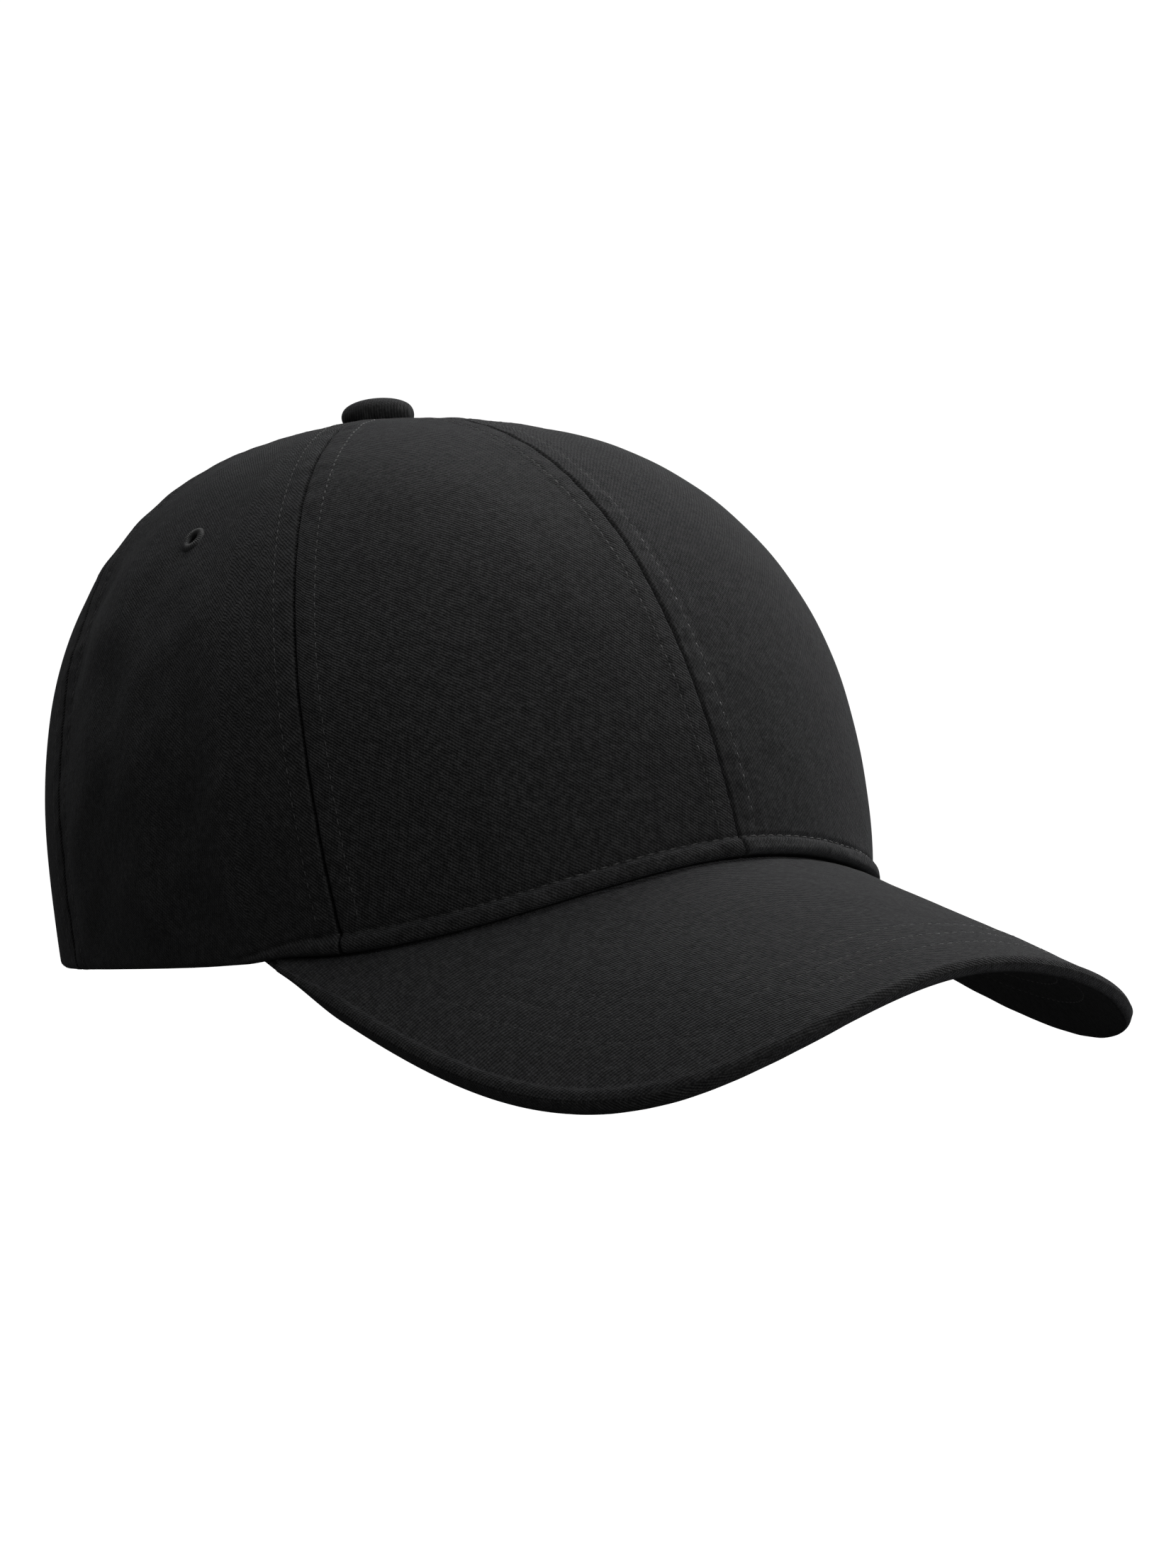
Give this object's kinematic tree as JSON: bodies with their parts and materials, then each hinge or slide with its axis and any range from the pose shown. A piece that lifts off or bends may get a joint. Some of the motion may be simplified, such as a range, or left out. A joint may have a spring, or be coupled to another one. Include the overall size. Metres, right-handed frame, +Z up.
{
  "type": "baseball cap",
  "caption": "Structured panelled baseball cap with a curved visor, covered top button, and an adjustable rear strap in a flip-up cam clasp.",
  "frame": {"origin": "centre of the head opening, in the plane of the crown's rim", "axes": "+Z up to the button, -Y forward along the visor, +X towards the wearer's left"},
  "size_m": [0.1702, 0.2672, 0.1552],
  "materials": {
    "shell_twill": "matt cotton twill, structured",
    "visor_twill": "matt cotton twill over board",
    "button_twill": "matt cotton twill over metal",
    "strap_twill": "folded twill strap, topstitched",
    "sweatband_twill": "soft brushed twill",
    "seam_tape": "plain woven tape",
    "buckram": "open stiffened weave",
    "woven_label": "plain woven satin, blank",
    "eyelet_thread": "embroidered thread",
    "foam": "soft open foam",
    "visor_board": "polyethylene board",
    "steel": "plain pressed steel",
    "clasp_metal": "antique dark nickel, brushed"
  },
  "bodies": {
    "crown": {"front_left_panel": "shell_twill", "side_left_panel": "shell_twill", "rear_left_panel": "shell_twill", "front_right_panel": "shell_twill", "side_right_panel": "shell_twill", "rear_right_panel": "shell_twill", "front_left_buckram": "buckram", "front_right_buckram": "buckram", "front_centre_seam_tape": "seam_tape", "left_side_seam_tape": "seam_tape", "right_side_seam_tape": "seam_tape", "left_rear_seam_tape": "seam_tape", "right_rear_seam_tape": "seam_tape", "rear_centre_seam_tape": "seam_tape", "rear_arch_binding": "seam_tape", "sweatband_padding": "foam", "sweatband": "sweatband_twill", "care_label": "woven_label", "visor_board": "visor_board", "visor_top_cover": "visor_twill", "visor_bottom_cover": "visor_twill", "button_cover": "button_twill", "button_shell": "steel", "button_back_plate": "steel", "side_left_eyelet": "eyelet_thread", "rear_left_eyelet": "eyelet_thread", "side_right_eyelet": "eyelet_thread", "rear_right_eyelet": "eyelet_thread", "clasp_frame": "clasp_metal", "clasp_pin": "clasp_metal", "clasp_tab": "strap_twill"},
    "strap_body": {"strap": "strap_twill"},
    "lever_body": {"clasp_lever": "clasp_metal"}
  },
  "joints": [
    {"name": "strap_slide", "type": "hinge", "parent": "crown", "child": "strap_body", "pos_m": [0, 0.022, 0.013], "axis": [0, 0, 1], "range_deg": [-8, 8]},
    {"name": "clasp_lever_hinge", "type": "hinge", "parent": "crown", "child": "lever_body", "pos_m": [-0.02881, 0.09513, 0.013], "axis": [0, 0, 1], "range_deg": [0, 110]}
  ]
}
